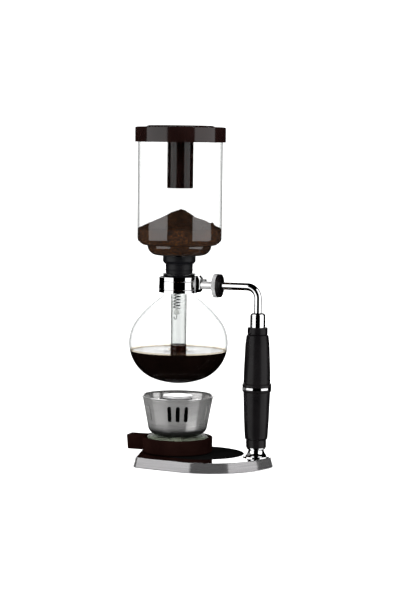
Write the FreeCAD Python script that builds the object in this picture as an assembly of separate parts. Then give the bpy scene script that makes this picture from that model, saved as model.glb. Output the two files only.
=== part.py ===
import FreeCAD, Part
import os
from math import acos, asin, atan2, cos, degrees, hypot, pi, radians, sin, sqrt

# A table-top siphon coffee maker. All lengths are in millimetres.
# The origin is on the table, straight below the axis of the two glass bowls.
# +X points from that axis to the grip post, +Z is up.

V = FreeCAD.Vector
ORIGIN = V(0, 0, 0)
X_AXIS = V(1, 0, 0)
Y_AXIS = V(0, 1, 0)
Z_AXIS = V(0, 0, 1)
GAP = 0.3                # between faces of parts that move past each other
RUN = 0.05               # radial clearance of a turning shaft

# base
BASE_CIRCLES = [         # outline: the band round these (x, y, radius), anticlockwise
    (83.2, 0.0, 16.0),
    (32.0, -3.0, 65.3),
    (-20.6, 46.9, 7.4),
    (-10.0, 0.0, 28.5),
    (-20.6, -46.9, 7.4),
    (32.0, 3.0, 65.3),
]
BASE_LIFT = 0.6          # the metal shell hangs this far above the table
BASE_TOP = 10.0
BASE_DRAFT = 2.5         # how much narrower the top is than the bottom, each side
BASE_WALL = 2.2
BASE_EDGE = 1.0          # rounding of the top edge
INLAY_X = 24.0
INLAY_A = 44.3
INLAY_B = 41.0
INLAY_DEPTH = 1.0
PAD_TOP = 3.4
PAD_INSET = 3.7          # from the outline of the shell's foot
BALLAST_INSET = 5.6
WASHER_R = 7.0
WASHER_T = 1.2
NUT_R = 5.8              # over the corners
NUT_H = 4.2

# grip post
POST_X = 82.5
TIE_R = 3.0
GRIP_BORE = 4.0
FOOT_R = 13.1
FOOT_TOP = 19.2
GRIP_LOW_TOP = 76.7
RING_TOP = 79.5
GRIP_TOP = 138.1
FLANGE_R = 14.3
FERRULE_R = 7.5
FERRULE_TOP = 152.5
ROD_R = 3.8
ROD_FOOT = 118.0         # lower end of the arm rod, inside the upper grip

# arm and clamp
ARM_Z = 177.4
BEND_R = 11.0
ARM_END = 44.2           # shoulder of the arm rod, at the clamp knob
SPIGOT_R = 1.9
SPIGOT_END = 31.2
KNOB_LEFT = 37.5
KNOB_RIGHT = 41.3
KNOB_R = 11.9
KNOB_CORE_R = 9.6
HUB_RIGHT = 43.9
BUSH_R = 3.0
BUSH_END = 32.2
BOSS_R = 4.0
BOSS_START = 20.3
BOSS_BORE_START = 25.0

# lower bowl
GLASS = 1.5
NECK_R = 14.9
LIP_R = 16.5
LIP_TOP = 188.4
NECK_FLARE = 184.0       # the neck widens above this height
EQUATOR_R = 49.15
EQUATOR_Z = 119.0
EQUATOR_ARC = 38.0       # arc radius round the equator
SHOULDER_ARC = 110.0
SHOULDER_ANGLE = 38.0    # where the equator arc hands over to the shoulder arc
BELLY_ARC = 70.0         # arc radius of the flattened bottom
NECK_FILLET = 5.0
NECK_ANGLE = 50.0        # where on the shoulder arc the neck piece ends
COFFEE_TOP = 111.4

# neck band
BAND_R = 20.1
BAND_T = 1.0
BAND_LOW = 169.6
BAND_HIGH = 185.1
BEAD_UP = 3.0            # raised beads, from the strap's lower and upper edge
BEAD_DOWN = 4.1
BRACKET_X = 18.6
BRACKET_W = 11.0
SCREW_X = 27.2
SCREW_R = 1.8
SCREW_H = 6.2            # head above the arm's axis

# upper bowl
BOWL_GLASS = 1.6
BOWL_R = 41.9
BOWL_TOP = 329.5
BOWL_LOW = 223.7         # lower end of the straight wall
STEP_R = 34.2
STEP_Z = 216.4
DISH_R = 31.9
DISH_ROUND = 10.0
DISH_LOW = 206.4
TUBE_R = 7.85
TUBE_GLASS = 1.35
TUBE_END = 87.0
GASKET_COLLAR_R = 16.3
GASKET_TOP = 205.4
GASKET_STEP = 197.3
GASKET_END = 171.5

# filter
FILTER_Z = 211.6         # underside of the filter
FILTER_R = 25.5
PLATE_T = 0.7
CLOTH_R = 27.4
CLOTH_T = 0.9
SPINDLE_R = 1.5
SPINDLE_END = 204.0
FILTER_NUT_R = 4.0       # over the corners
FILTER_NUT_H = 2.4
BEAD_R = 2.9
HOOK_WIRE = 0.45
HOOK_BEND = 1.2
SPRING_TOP = 203.8
SPRING_END = 153.5
SPRING_R = 3.3
SPRING_WIRE = 0.45
SPRING_PITCH = 3.0
SPRING_LEAN = 2.3        # how far the free end of the spring hangs off the axis

# coffee grounds
HEAP_EDGE = 233.9
HEAP_TOP = 252.0

# lid
LID_R = 45.4
LID_LOW = 318.1
LID_TOP = 333.3
LID_RAISED = 335.0
LID_RAISED_R = 34.0
LID_CEILING = 329.9
LID_SKIRT = 2.1
SOCKET_R = 13.1
SOCKET_WALL = 1.9
SOCKET_END = 272.8

# spirit lamp
CRADLE_R = 35.1
CRADLE_LOW = 10.3
CRADLE_TOP = 25.0
CRADLE_FLOOR = 13.2
LAMP_R = 31.3
LAMP_LOW = 13.4
LAMP_TOP = 27.0
LAMP_GLASS = 2.0
LAMP_NECK_R = 12.0
LAMP_NECK_TOP = 31.0
TAB_END = 52.5
TAB_HALF = 6.5
TAB_LOW = CRADLE_LOW
FUEL_TOP = 19.0
COLLAR_TOP = 33.5
WICK_R = 3.4
WICK_TOP = 50.0

# windshield and snuffer cap
SHIELD_T = 0.8
SHIELD_LOW = 27.4
SHIELD_HOLE_R = 13.0
SHIELD_FLOOR_R = 20.6
SHIELD_LOW_R = 29.6
SHIELD_TOP_R = 34.9
SHIELD_TOP_Z = 63.9
SHIELD_LIP_R = 36.9
SHIELD_LIP_Z = 65.7
SLOT_GROUPS = 5
SLOT_STEP = 14.6         # degrees between slots of a group
SLOT_FIRST = -70.0       # direction of the first group
SLOT_W = 3.8
SLOT_LOW = 43.6
SLOT_HIGH = 59.2
CAP_R = 15.0
CAP_TOP = 67.0
CAP_DISC_LOW = 64.0
CAP_NECK_R = 12.4
CAP_LOW = 33.8


class Path:
    """A closed outline in radius and height, turned about +Z into a solid."""

    def __init__(self, r, z):
        self.start = (r, z)
        self.at = (r, z)
        self.edges = []

    def to(self, r, z):
        self.edges.append(Part.makeLine(V(self.at[0], 0, self.at[1]), V(r, 0, z)))
        self.at = (r, z)
        return self

    def arc(self, centre_r, centre_z, end_angle):
        """Goes round a centre to an angle in degrees, the short way, keeping its distance."""
        dr = self.at[0] - centre_r
        dz = self.at[1] - centre_z
        radius = hypot(dr, dz)
        begin = degrees(atan2(dz, dr))
        turn = (end_angle - begin + 180) % 360 - 180
        points = []
        for part in (0.0, 0.5, 1.0):
            angle = radians(begin + turn * part)
            points.append(V(centre_r + radius * cos(angle), 0, centre_z + radius * sin(angle)))
        self.edges.append(Part.Arc(*points).toShape())
        self.at = (points[2].x, points[2].z)
        return self

    def turned(self):
        self.to(*self.start)
        face = Part.Face(Part.Wire(self.edges))
        return face.revolve(ORIGIN, Z_AXIS, 360)


def rod(radius, z0, z1, x=0.0, y=0.0):
    return Part.makeCylinder(radius, z1 - z0, V(x, y, z0))


def ring(inner, outer, z0, z1, x=0.0):
    return rod(outer, z0, z1, x).cut(rod(inner, z0 - 1, z1 + 1, x))


def lying_rod(radius, x0, x1, z=ARM_Z):
    return Part.makeCylinder(radius, x1 - x0, V(x0, 0, z), X_AXIS)


def along_arm(shape):
    """Lays a solid turned about +Z along the arm, its height becoming X."""
    shape.rotate(ORIGIN, Y_AXIS, 90)
    shape.translate(V(0, 0, ARM_Z))
    return shape


def at_post(shape):
    shape.translate(V(POST_X, 0, 0))
    return shape


def prism(wire, height):
    return Part.Face(wire).extrude(V(0, 0, height))


def hexagon(radius, z):
    """Outline of a nut, by the circle round its corners."""
    corners = [V(radius * cos(radians(a)), radius * sin(radians(a)), z) for a in range(0, 361, 60)]
    return Part.makePolygon(corners)


# ---- base ----

def base_outline(inset, z):
    """The tight band round BASE_CIRCLES, moved inwards by inset."""
    circles = [(x, y, r - inset) for x, y, r in BASE_CIRCLES]
    count = len(circles)
    normals = []
    for i in range(count):
        x0, y0, r0 = circles[i]
        x1, y1, r1 = circles[(i + 1) % count]
        heading = atan2(y1 - y0, x1 - x0)
        normals.append(heading - acos((r0 - r1) / hypot(x1 - x0, y1 - y0)))
    edges = []
    for i in range(count):
        x, y, r = circles[i]
        begin = normals[i - 1]
        turn = (normals[i] - begin) % (2 * pi)
        rim = [V(x + r * cos(begin + turn * k), y + r * sin(begin + turn * k), z)
               for k in (0.0, 0.5, 1.0)]
        edges.append(Part.Arc(*rim).toShape())
        x1, y1, r1 = circles[(i + 1) % count]
        leave = V(x1 + r1 * cos(normals[i]), y1 + r1 * sin(normals[i]), z)
        edges.append(Part.makeLine(rim[2], leave))
    return Part.Wire(edges)


def inlay_disc(shrink, z0, z1):
    oval = Part.Ellipse(V(INLAY_X, 0, z0), INLAY_A - shrink, INLAY_B - shrink)
    return prism(Part.Wire(oval.toShape()), z1 - z0)


def base_shell():
    low = base_outline(0.0, BASE_LIFT)
    high = base_outline(BASE_DRAFT, BASE_TOP)
    shell = Part.makeLoft([low, high], True, True)
    top_edges = [e for e in shell.Edges if min(v.Z for v in e.Vertexes) > BASE_TOP - 0.01]
    shell = shell.makeFillet(BASE_EDGE, top_edges)
    ceiling = BASE_TOP - BASE_WALL
    hollow_low = base_outline(BASE_WALL, BASE_LIFT - 1)
    hollow_high = base_outline(BASE_WALL + BASE_DRAFT, ceiling)
    shell = shell.cut(Part.makeLoft([hollow_low, hollow_high], True, True))
    shell = shell.cut(inlay_disc(0.0, BASE_TOP - INLAY_DEPTH, BASE_TOP + 1))
    return shell.cut(rod(TIE_R + 0.2, ceiling - 1, BASE_TOP + 1, POST_X))


def base_inlay():
    return inlay_disc(0.2, BASE_TOP - INLAY_DEPTH, BASE_TOP - 0.2)


def base_ballast():
    ceiling = BASE_TOP - BASE_WALL
    slab = prism(base_outline(BALLAST_INSET, PAD_TOP), ceiling - PAD_TOP)
    return slab.cut(rod(WASHER_R + 2, PAD_TOP - 1, ceiling + 1, POST_X))


def base_pad():
    sheet = prism(base_outline(PAD_INSET, 0.0), PAD_TOP)
    return sheet.cut(rod(WASHER_R + 1, -1, PAD_TOP + 1, POST_X))


def base_washer():
    ceiling = BASE_TOP - BASE_WALL
    return ring(TIE_R + 0.2, WASHER_R, ceiling - WASHER_T, ceiling, POST_X)


def base_nut():
    low = BASE_TOP - BASE_WALL - WASHER_T - NUT_H
    nut = at_post(prism(hexagon(NUT_R, low), NUT_H))
    return nut.cut(rod(TIE_R, low - 1, low + NUT_H + 1, POST_X))


def tie_rod():
    return rod(TIE_R, 2.2, ROD_FOOT - 0.2, POST_X)


# ---- grip post ----

def post_foot():
    flare = Path(TIE_R + 0.2, BASE_TOP)
    flare.to(FOOT_R, BASE_TOP).to(FOOT_R, BASE_TOP + 0.9)
    flare.arc(FOOT_R + 1.4, BASE_TOP + 7.6, 188)
    flare.to(9.4, FOOT_TOP - 0.8).to(9.4, FOOT_TOP).to(TIE_R + 0.2, FOOT_TOP)
    return at_post(flare.turned())


def grip_lower():
    grip = Path(GRIP_BORE, FOOT_TOP).to(9.5, FOOT_TOP).to(9.95, FOOT_TOP + 0.6)
    grip.to(9.95, 27.0).to(10.9, 27.8).to(11.3, 29.1).to(12.3, 47.0).to(13.15, 71.3)
    grip.to(13.3, 74.3).to(FLANGE_R - 0.5, 74.8).to(FLANGE_R, 75.4)
    grip.to(FLANGE_R, GRIP_LOW_TOP).to(GRIP_BORE, GRIP_LOW_TOP)
    return at_post(grip.turned())


def grip_ring():
    band = Path(GRIP_BORE, GRIP_LOW_TOP).to(FLANGE_R - 0.3, GRIP_LOW_TOP)
    band.to(FLANGE_R, GRIP_LOW_TOP + 0.4).to(FLANGE_R, RING_TOP - 0.4)
    band.to(FLANGE_R - 0.3, RING_TOP).to(GRIP_BORE, RING_TOP)
    return at_post(band.turned())


def grip_upper():
    grip = Path(GRIP_BORE, RING_TOP).to(FLANGE_R, RING_TOP).to(FLANGE_R, 82.0)
    grip.to(FLANGE_R - 0.5, 82.6).to(13.3, 82.9).to(13.2, 85.4).to(12.95, 96.7)
    grip.to(11.9, 121.4).to(10.9, 130.0).to(10.5, 130.6).to(9.5, 131.0)
    grip.to(9.95, 131.6).to(9.95, GRIP_TOP - 0.5).to(9.5, GRIP_TOP).to(GRIP_BORE, GRIP_TOP)
    return at_post(grip.turned())


def ferrule():
    round_r = 3.0
    sleeve = Path(ROD_R, GRIP_TOP).to(FERRULE_R, GRIP_TOP).to(FERRULE_R, FERRULE_TOP - round_r)
    sleeve.arc(FERRULE_R - round_r, FERRULE_TOP - round_r, 90).to(ROD_R, FERRULE_TOP)
    return at_post(sleeve.turned())


def arm_rod():
    """Up out of the grip, round the bend, and along to the clamp knob."""
    corner = V(POST_X - BEND_R, 0, ARM_Z - BEND_R)
    knee = V(corner.x + BEND_R * sin(pi / 4), 0, corner.z + BEND_R * cos(pi / 4))
    foot = V(POST_X, 0, ROD_FOOT)
    bend_low = V(POST_X, 0, corner.z)
    bend_high = V(corner.x, 0, ARM_Z)
    tip = V(ARM_END, 0, ARM_Z)
    route = Part.Wire([
        Part.makeLine(foot, bend_low),
        Part.Arc(bend_low, knee, bend_high).toShape(),
        Part.makeLine(bend_high, tip),
    ])
    section = Part.Wire(Part.makeCircle(ROD_R, foot, Z_AXIS))
    bar = route.makePipeShell([section], True, False)
    return bar.fuse(lying_rod(SPIGOT_R, SPIGOT_END, ARM_END + 1)).removeSplitter()


def retaining_clip():
    """Snap ring on the spigot, which keeps the knob on the arm."""
    clip = lying_rod(2.7, SPIGOT_END + 0.1, SPIGOT_END + 0.7)
    return clip.cut(lying_rod(SPIGOT_R, SPIGOT_END - 1, SPIGOT_END + 2))


# ---- clamp knob ----

def knob_rim():
    """Knurled ring, toothed all round."""
    teeth = 54
    points = []
    for i in range(2 * teeth + 1):
        radius = KNOB_R if i % 2 else KNOB_R - 0.45
        angle = pi * i / teeth
        points.append(V(radius * cos(angle), radius * sin(angle), KNOB_LEFT))
    rim = prism(Part.makePolygon(points), KNOB_RIGHT - KNOB_LEFT)
    return along_arm(rim.cut(rod(KNOB_CORE_R, KNOB_LEFT - 1, KNOB_RIGHT + 1)))


def knob_core():
    core = Path(BUSH_R, KNOB_LEFT).to(KNOB_CORE_R, KNOB_LEFT).to(KNOB_CORE_R, KNOB_RIGHT)
    core.to(KNOB_CORE_R - 1.0, KNOB_RIGHT + 0.5).to(6.4, KNOB_RIGHT + 0.5)
    core.to(4.8, HUB_RIGHT).to(BUSH_R, HUB_RIGHT)
    return along_arm(core.turned())


def knob_bush():
    """Threaded bush that the knob turns into the boss on the neck band."""
    bush = lying_rod(BUSH_R, BUSH_END, HUB_RIGHT)
    return bush.cut(lying_rod(SPIGOT_R + RUN, BUSH_END - 1, HUB_RIGHT + 1))


# ---- lower bowl and its neck band ----

def shoulder_centre():
    """The shoulder arc leaves the equator arc without a kink."""
    lead = radians(SHOULDER_ANGLE)
    shift = SHOULDER_ARC - EQUATOR_ARC
    return EQUATOR[0] - shift * cos(lead), EQUATOR[1] - shift * sin(lead)


def fillet_centre():
    """The fillet touches the shoulder arc and the neck."""
    r = NECK_R + NECK_FILLET
    reach = SHOULDER_ARC + NECK_FILLET
    return r, SHOULDER[1] + sqrt(reach ** 2 - (r - SHOULDER[0]) ** 2)


def belly_centre():
    """The bottom arc, centred on the axis, leaves the equator arc without a kink."""
    shift = BELLY_ARC - EQUATOR_ARC
    return 0.0, EQUATOR_Z + sqrt(shift ** 2 - EQUATOR[0] ** 2)


EQUATOR = (EQUATOR_R - EQUATOR_ARC, EQUATOR_Z)       # arc centres of the flask's outline
SHOULDER = shoulder_centre()
FILLET = fillet_centre()
BELLY = belly_centre()
SHOULDER_TOP = degrees(atan2(FILLET[1] - SHOULDER[1], FILLET[0] - SHOULDER[0]))
BELLY_ANGLE = -degrees(acos(EQUATOR[0] / (BELLY_ARC - EQUATOR_ARC)))


def neck_seam(inward):
    """Point of the shoulder arc where neck and shoulder pieces meet."""
    lead = radians(NECK_ANGLE)
    reach = SHOULDER_ARC - inward
    return SHOULDER[0] + reach * cos(lead), SHOULDER[1] + reach * sin(lead)


def flask_neck():
    """Top of the blown flask: the neck with its rounded lip, and where it runs out below."""
    neck = Path(LIP_R - 0.2, LIP_TOP)
    neck.arc(LIP_R - 0.2 - GLASS / 2, LIP_TOP - GLASS / 2, 0)
    neck.to(LIP_R - 0.4, LIP_TOP - 2.0).to(NECK_R, NECK_FLARE).to(NECK_R, FILLET[1])
    neck.arc(*FILLET, 180 + SHOULDER_TOP).arc(*SHOULDER, NECK_ANGLE)
    neck.to(*neck_seam(GLASS)).arc(*SHOULDER, SHOULDER_TOP).arc(*FILLET, 180)
    neck.to(NECK_R - GLASS, NECK_FLARE).to(LIP_R - 0.2 - GLASS, LIP_TOP - 1.6)
    return neck.turned()


def flask_shoulder():
    """Middle of the flask, from the neck out to its widest ring."""
    shoulder = Path(*neck_seam(0.0)).arc(*SHOULDER, SHOULDER_ANGLE).arc(*EQUATOR, 0)
    shoulder.to(EQUATOR_R - GLASS, EQUATOR_Z).arc(*EQUATOR, SHOULDER_ANGLE)
    shoulder.arc(*SHOULDER, NECK_ANGLE)
    return shoulder.turned()


def flask_belly():
    """Bottom of the flask, below its widest ring."""
    belly = Path(EQUATOR_R, EQUATOR_Z).arc(*EQUATOR, BELLY_ANGLE).arc(*BELLY, -90)
    belly.to(0.0, BELLY[1] - BELLY_ARC + GLASS).arc(*BELLY, BELLY_ANGLE).arc(*EQUATOR, 0)
    return belly.turned()


def brewed_coffee():
    """Fills the globe up to its level, with a ring left free for the upper bowl's tube."""
    inward = GLASS + GAP
    drop = Path(0.0, BELLY[1] - BELLY_ARC + inward).arc(*BELLY, BELLY_ANGLE)
    drop.arc(*EQUATOR, degrees(asin((COFFEE_TOP - EQUATOR_Z) / (EQUATOR_ARC - inward))))
    drop.to(0.0, COFFEE_TOP)
    liquid = drop.turned()
    slot = ring(TUBE_R - TUBE_GLASS - GAP, TUBE_R + GAP, TUBE_END - GAP, COFFEE_TOP + 5)
    return liquid.cut(slot)


def neck_liner():
    return ring(NECK_R + 0.1, BAND_R - BAND_T, BAND_LOW + 0.9, BAND_HIGH - 1.2)


def neck_band():
    """Bright strap with a raised bead near each edge, open where the bracket joins it."""
    bead = 0.45
    strap = ring(BAND_R - BAND_T, BAND_R, BAND_LOW, BAND_HIGH)
    for z in (BAND_LOW + BEAD_UP, BAND_HIGH - BEAD_DOWN):
        strap = strap.fuse(Part.makeTorus(BAND_R - 0.1, bead, V(0, 0, z)))
    opening = Part.makeBox(6, 5, 30, V(BAND_R - 4, -2.5, BAND_LOW - 5))
    return strap.cut(opening)


def neck_bracket():
    """Plate that bridges the strap's opening and carries the boss."""
    side = [(0.0, 0.3), (3.4, 1.0), (6.6, 4.0), (6.6, 11.8), (4.0, 14.0), (1.8, 17.6), (0.0, 17.6)]
    corners = [V(BRACKET_X + dx, -BRACKET_W / 2, BAND_LOW + dz) for dx, dz in side]
    corners.append(corners[0])
    plate = Part.Face(Part.makePolygon(corners)).extrude(V(0, BRACKET_W, 0))
    plate = plate.cut(rod(BAND_R + 0.4, BAND_LOW - 5, BAND_HIGH + 5))
    return plate.cut(lying_rod(BOSS_R, 15, 40))


def clamp_boss():
    """Threaded sleeve on the bracket that the knob's bush screws into."""
    boss = Path(0.0, BOSS_START).to(BOSS_R, BOSS_START).to(BOSS_R, KNOB_LEFT - GAP - 0.5)
    boss.to(BOSS_R - 0.5, KNOB_LEFT - GAP).to(BUSH_R + RUN, KNOB_LEFT - GAP)
    boss.to(BUSH_R + RUN, BOSS_BORE_START).to(0.0, BOSS_BORE_START)
    sleeve = along_arm(boss.turned())
    return sleeve.cut(rod(BAND_R + 0.5, ARM_Z - 8, ARM_Z + 8))


def set_screw():
    top = ARM_Z + SCREW_H
    head = rod(SCREW_R, ARM_Z + 2, top, SCREW_X).cut(lying_rod(BOSS_R, 15, 40))
    slot = Part.makeBox(2 * SCREW_R + 1, 0.6, 1.2, V(SCREW_X - SCREW_R - 0.5, -0.3, top - 0.8))
    return head.cut(slot)


# ---- upper bowl with its seal and filter ----

def upper_bowl():
    corner = BOWL_R - STEP_R           # rounding between wall and step
    dish_r = DISH_R - DISH_ROUND
    stem_round = 4.0
    g = BOWL_GLASS
    inner_tube = TUBE_R - TUBE_GLASS
    bowl = Path(BOWL_R - g, BOWL_TOP - g / 2)
    bowl.arc(BOWL_R - g / 2, BOWL_TOP - g / 2, 90).arc(BOWL_R - g / 2, BOWL_TOP - g / 2, 0)
    bowl.to(BOWL_R, STEP_Z + corner).arc(STEP_R, STEP_Z + corner, -90)
    bowl.to(DISH_R, STEP_Z).arc(dish_r, STEP_Z, -90)
    bowl.to(TUBE_R + stem_round, DISH_LOW).arc(TUBE_R + stem_round, DISH_LOW - stem_round, 180)
    bowl.to(TUBE_R, TUBE_END + 0.6).arc(TUBE_R - TUBE_GLASS / 2, TUBE_END + 0.6, -90)
    bowl.arc(TUBE_R - TUBE_GLASS / 2, TUBE_END + 0.6, 180)
    bowl.to(inner_tube, DISH_LOW - stem_round)
    bowl.arc(TUBE_R + stem_round, DISH_LOW - stem_round, 90)
    bowl.to(dish_r, bowl.at[1]).arc(dish_r, STEP_Z, 0)
    bowl.to(bowl.at[0], STEP_Z + g).to(STEP_R, STEP_Z + g)
    bowl.arc(STEP_R, STEP_Z + corner, 0)
    return bowl.turned()


def bowl_gasket():
    """Rubber stopper: a collar under the bowl and a long taper into the flask's neck."""
    dish_r = TUBE_R + 4.0
    seal = Path(TUBE_R, DISH_LOW - 4.0)
    seal.arc(dish_r, DISH_LOW - 4.0, 110)
    seal.to(dish_r, GASKET_TOP).to(GASKET_COLLAR_R, GASKET_TOP)
    seal.to(GASKET_COLLAR_R, GASKET_STEP + 2.2).to(GASKET_COLLAR_R - 2.0, GASKET_STEP)
    seal.to(13.5, GASKET_STEP).to(13.0, LIP_TOP).to(12.9, NECK_FLARE)
    seal.to(12.4, GASKET_END + 1.0).to(11.6, GASKET_END).to(TUBE_R, GASKET_END)
    return seal.turned()


def perforated(disc, z):
    """Drills rings of holes through a filter plate."""
    drills = []
    for radius, count in ((8.0, 8), (13.0, 12), (18.0, 16), (22.5, 20)):
        for i in range(count):
            angle = 2 * pi * i / count
            drills.append(rod(1.0, z - 2, z + 3, radius * cos(angle), radius * sin(angle)))
    return disc.cut(Part.makeCompound(drills))


def filter_bottom_plate():
    return perforated(ring(SPINDLE_R, FILTER_R, FILTER_Z, FILTER_Z + PLATE_T), FILTER_Z)


def filter_cloth():
    """Cloth disc clamped between the plates, its hem standing out past them."""
    low = FILTER_Z + PLATE_T
    return ring(SPINDLE_R, CLOTH_R, low, low + CLOTH_T)


def filter_top_plate():
    low = FILTER_Z + PLATE_T + CLOTH_T
    return perforated(ring(SPINDLE_R, FILTER_R, low, low + PLATE_T), low)


def filter_spindle():
    return rod(SPINDLE_R, SPINDLE_END, FILTER_Z + 5.4)


def filter_nut():
    low = FILTER_Z + 2 * PLATE_T + CLOTH_T
    nut = prism(hexagon(FILTER_NUT_R, low), FILTER_NUT_H)
    return nut.cut(rod(SPINDLE_R, low - 1, low + FILTER_NUT_H + 1))


def spring_axis(z):
    """Point on the spring's leaning axis at a height."""
    part = (SPRING_TOP - z) / (SPRING_TOP - SPRING_END)
    return V(-SPRING_LEAN * part, 0, z)


def filter_spring():
    height = SPRING_TOP - SPRING_END
    coil = Part.makeHelix(SPRING_PITCH, height, SPRING_R)
    section = Part.Wire(Part.makeCircle(SPRING_WIRE, V(SPRING_R, 0, 0), Y_AXIS))
    spring = Part.Wire(coil.Edges).makePipeShell([section], True, True)
    spring.rotate(ORIGIN, Y_AXIS, degrees(atan2(SPRING_LEAN, height)))
    spring.translate(spring_axis(SPRING_END))
    return spring


def filter_bead():
    return Part.makeSphere(BEAD_R, spring_axis(SPRING_END) - V(0, 0, BEAD_R + 1))


def filter_hook():
    """Wire hook that catches the tube's lower end when the filter is pulled down."""
    top = spring_axis(SPRING_END) - V(0, 0, 2 * BEAD_R + 1.2)
    straight = top - V(0, 0, 3.0)
    far = straight - V(2 * HOOK_BEND, 0, 0)
    low = straight - V(HOOK_BEND, 0, HOOK_BEND)
    tip = far + V(0, 0, 1.4)
    route = Part.Wire([
        Part.makeLine(top, straight),
        Part.Arc(straight, low, far).toShape(),
        Part.makeLine(far, tip),
    ])
    section = Part.Wire(Part.makeCircle(HOOK_WIRE, top, Z_AXIS))
    return route.makePipeShell([section], True, False)


def coffee_grounds():
    """Heap on the filter, up against the glass."""
    low = FILTER_Z + 2 * PLATE_T + CLOTH_T + 0.1
    inward = BOWL_GLASS + 0.1
    dish_r = DISH_R - inward
    step_z = STEP_Z + inward
    corner = BOWL_R - STEP_R
    heap = Path(0.0, low).to(FILTER_R, low).to(dish_r - 1.0, STEP_Z - 0.8).to(dish_r, STEP_Z)
    heap.to(dish_r, step_z).to(STEP_R, step_z).arc(STEP_R, STEP_Z + corner, 0)
    heap.to(BOWL_R - inward, HEAP_EDGE).to(30.0, 238.4).to(20.0, 243.6).to(9.0, 249.2)
    heap.to(3.5, 251.7).to(0.0, HEAP_TOP)
    nut_room = rod(FILTER_NUT_R + 0.2, low - 1, low + FILTER_NUT_H + 1.2)
    return heap.turned().cut(nut_room)


# ---- lid ----

def lid_cap():
    cap = Path(0.0, LID_CEILING).to(LID_R - LID_SKIRT, LID_CEILING)
    cap.to(LID_R - LID_SKIRT, LID_LOW).to(LID_R - 0.3, LID_LOW).to(LID_R, LID_LOW + 0.4)
    cap.to(LID_R - 0.3, LID_TOP - 1.2).arc(LID_R - 1.5, LID_TOP - 1.2, 90)
    cap.to(LID_RAISED_R, LID_TOP).to(LID_RAISED_R - 0.4, LID_RAISED - 0.5)
    cap.to(LID_RAISED_R - 1.2, LID_RAISED).to(0.0, LID_RAISED)
    return cap.turned()


def lid_socket():
    """Tube under the lid, which holds the upper bowl's stem when the lid is its stand."""
    tube = Path(SOCKET_R - SOCKET_WALL, LID_CEILING)
    tube.to(SOCKET_R - SOCKET_WALL, SOCKET_END).to(SOCKET_R - 0.4, SOCKET_END)
    tube.to(SOCKET_R, SOCKET_END + 0.5).to(SOCKET_R, LID_CEILING - 1.5)
    tube.to(SOCKET_R + 1.5, LID_CEILING)
    return tube.turned()


# ---- spirit lamp ----

def lamp_cradle():
    """Moulded cup that holds the lamp, with a tab to pull it out by."""
    inner = LAMP_R + GAP
    cup = Path(0.0, CRADLE_LOW).to(CRADLE_R - 1.0, CRADLE_LOW).to(CRADLE_R - 0.3, CRADLE_LOW + 0.8)
    cup.to(CRADLE_R, CRADLE_TOP - 0.8).arc(CRADLE_R - 0.8, CRADLE_TOP - 0.8, 90)
    cup.to(inner + 0.8, CRADLE_TOP).to(inner, CRADLE_TOP - 0.8).to(inner, CRADLE_FLOOR)
    cup.to(0.0, CRADLE_FLOOR)
    body = cup.turned()
    root = -CRADLE_R + 2.0
    corners = [V(root, 0, TAB_LOW), V(-TAB_END + 1.2, 0, TAB_LOW),
               V(-TAB_END, 0, CRADLE_TOP), V(root, 0, CRADLE_TOP)]
    corners.append(corners[0])
    tab = Part.Face(Part.makePolygon(corners)).extrude(V(0, 2 * TAB_HALF, 0))
    tab.translate(V(0, -TAB_HALF, 0))
    tab = tab.makeFillet(1.6, [e for e in tab.Edges if max(v.X for v in e.Vertexes) < -40])
    tab = tab.cut(rod(inner + 1.0, CRADLE_LOW - 1, CRADLE_TOP + 1))
    return body.fuse(tab).removeSplitter()


def lamp_glass():
    g = LAMP_GLASS
    low_round = 4.0
    top_round = 6.0
    glass = Path(0.0, LAMP_LOW).to(LAMP_R - low_round, LAMP_LOW)
    glass.arc(LAMP_R - low_round, LAMP_LOW + low_round, 0)
    glass.to(LAMP_R, LAMP_TOP - top_round).arc(LAMP_R - top_round, LAMP_TOP - top_round, 90)
    glass.to(LAMP_NECK_R, LAMP_TOP).to(LAMP_NECK_R, LAMP_NECK_TOP)
    glass.to(LAMP_NECK_R - g, LAMP_NECK_TOP).to(LAMP_NECK_R - g, LAMP_TOP - g)
    glass.to(LAMP_R - top_round, LAMP_TOP - g).arc(LAMP_R - top_round, LAMP_TOP - top_round, 0)
    glass.to(LAMP_R - g, LAMP_LOW + low_round)
    glass.arc(LAMP_R - low_round, LAMP_LOW + low_round, -90).to(0.0, LAMP_LOW + g)
    return glass.turned()


def lamp_fuel():
    inward = LAMP_GLASS + 0.1
    low_round = 4.0
    pool = Path(WICK_R + 0.1, LAMP_LOW + inward).to(LAMP_R - low_round, LAMP_LOW + inward)
    pool.arc(LAMP_R - low_round, LAMP_LOW + low_round, 0)
    pool.to(LAMP_R - inward, FUEL_TOP).to(WICK_R + 0.1, FUEL_TOP)
    return pool.turned()


def wick_collar():
    """Metal cap on the lamp's neck, with the tube that grips the wick."""
    plug_r = LAMP_NECK_R - LAMP_GLASS - 0.2
    collar = Path(WICK_R, LAMP_NECK_TOP - 3.5).to(plug_r, LAMP_NECK_TOP - 3.5)
    collar.to(plug_r, LAMP_NECK_TOP).to(CAP_NECK_R, LAMP_NECK_TOP)
    collar.to(CAP_NECK_R, COLLAR_TOP - 0.6).to(CAP_NECK_R - 0.6, COLLAR_TOP)
    collar.to(4.6, COLLAR_TOP).to(4.6, WICK_TOP - 5).to(WICK_R, WICK_TOP - 5)
    return collar.turned()


def wick():
    braid = Path(0.0, LAMP_LOW + LAMP_GLASS + 0.4).to(WICK_R, LAMP_LOW + LAMP_GLASS + 0.4)
    braid.to(WICK_R, WICK_TOP - 0.8).to(WICK_R - 0.8, WICK_TOP).to(0.0, WICK_TOP)
    return braid.turned()


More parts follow.
